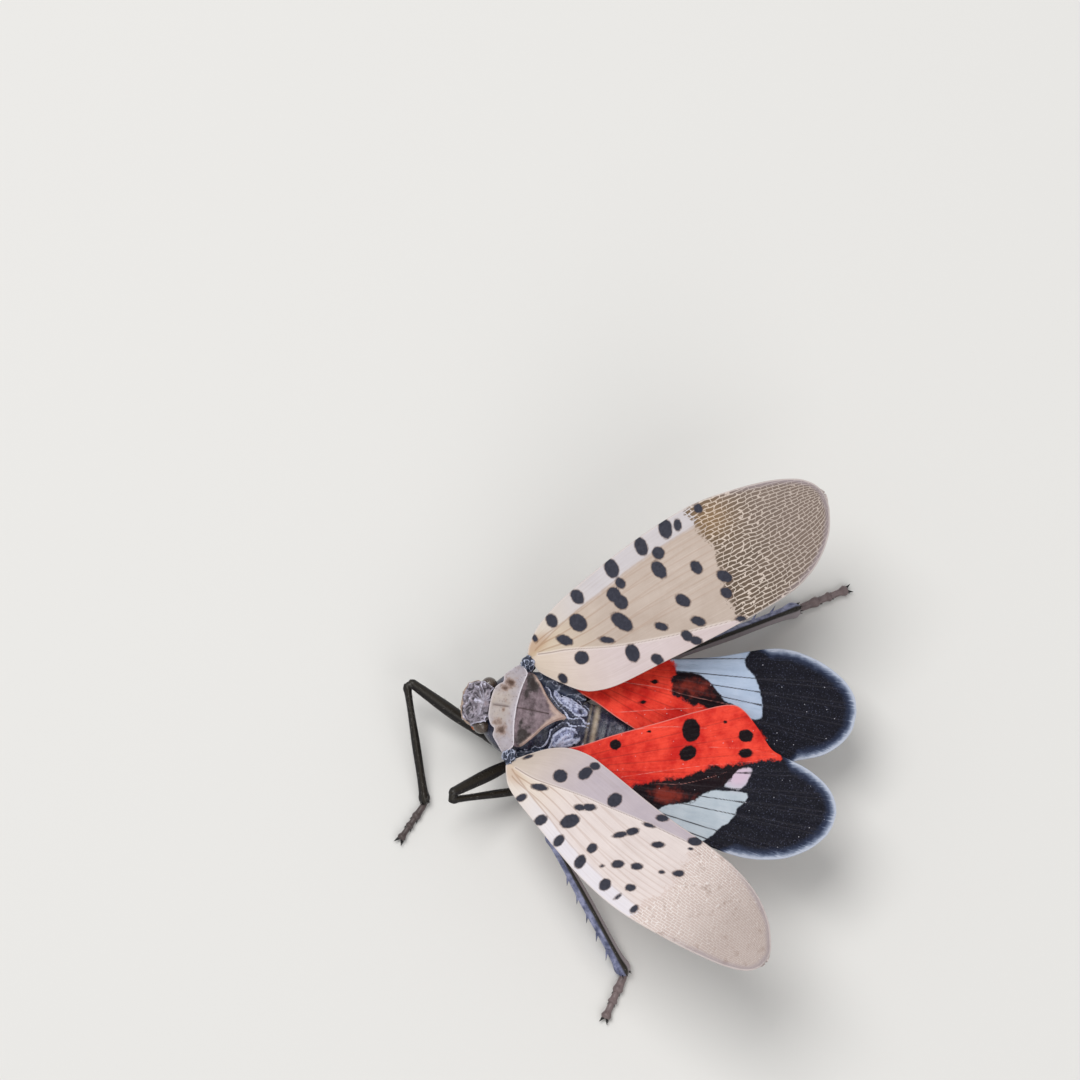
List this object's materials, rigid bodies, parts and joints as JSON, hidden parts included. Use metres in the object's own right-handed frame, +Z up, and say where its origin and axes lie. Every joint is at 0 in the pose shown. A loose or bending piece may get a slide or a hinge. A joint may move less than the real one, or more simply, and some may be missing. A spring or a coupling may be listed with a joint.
{
  "type": "spotted lanternfly",
  "caption": "Spotted lanternfly, life size, standing with spotted forewings raised and red and black hindwings open.",
  "frame": {"origin": "on the floor, under the centre of the insect's bounding box", "axes": "+Z up from the floor the feet stand on, -Y the way the head points, +X towards the insect's own left wings"},
  "size_m": [0.034, 0.0278, 0.0126],
  "materials": {
    "head": "dull, wrinkled grey-brown",
    "eye": "glossy, faceted, very dark brown",
    "antenna": "satin orange",
    "pronotum": "dull tan with brown blotches",
    "mesonotum": "dull mauve-brown with pale edges",
    "thorax": "blue-black with white waxy bloom",
    "abdomen": "yellow rings with black bands and wax",
    "forewing": "tan membrane with black spots and a netted tip",
    "hindwing": "red, white and black membrane",
    "leg": "satin brown-black"
  },
  "bodies": {
    "root": {"head": "head", "eye_left": "eye", "eye_right": "eye", "antenna_left": "antenna", "antenna_right": "antenna", "rostrum": "leg", "prothorax": "pronotum", "mesonotum": "mesonotum", "thorax": "thorax", "tegula_left": "thorax", "tegula_right": "thorax", "abdomen": "abdomen", "forewing_left": "forewing", "forewing_right": "forewing", "hindwing_left": "hindwing", "hindwing_right": "hindwing", "coxa_front_left": "leg", "femur_front_left": "leg", "tibia_front_left": "leg", "tarsus_front_left": "leg", "coxa_middle_left": "leg", "femur_middle_left": "leg", "tibia_middle_left": "leg", "tarsus_middle_left": "leg", "coxa_hind_left": "leg", "femur_hind_left": "leg", "tibia_hind_left": "leg", "tarsus_hind_left": "leg", "coxa_front_right": "leg", "femur_front_right": "leg", "tibia_front_right": "leg", "tarsus_front_right": "leg", "coxa_middle_right": "leg", "femur_middle_right": "leg", "tibia_middle_right": "leg", "tarsus_middle_right": "leg", "coxa_hind_right": "leg", "femur_hind_right": "leg", "tibia_hind_right": "leg", "tarsus_hind_right": "leg"}
  },
  "joints": []
}
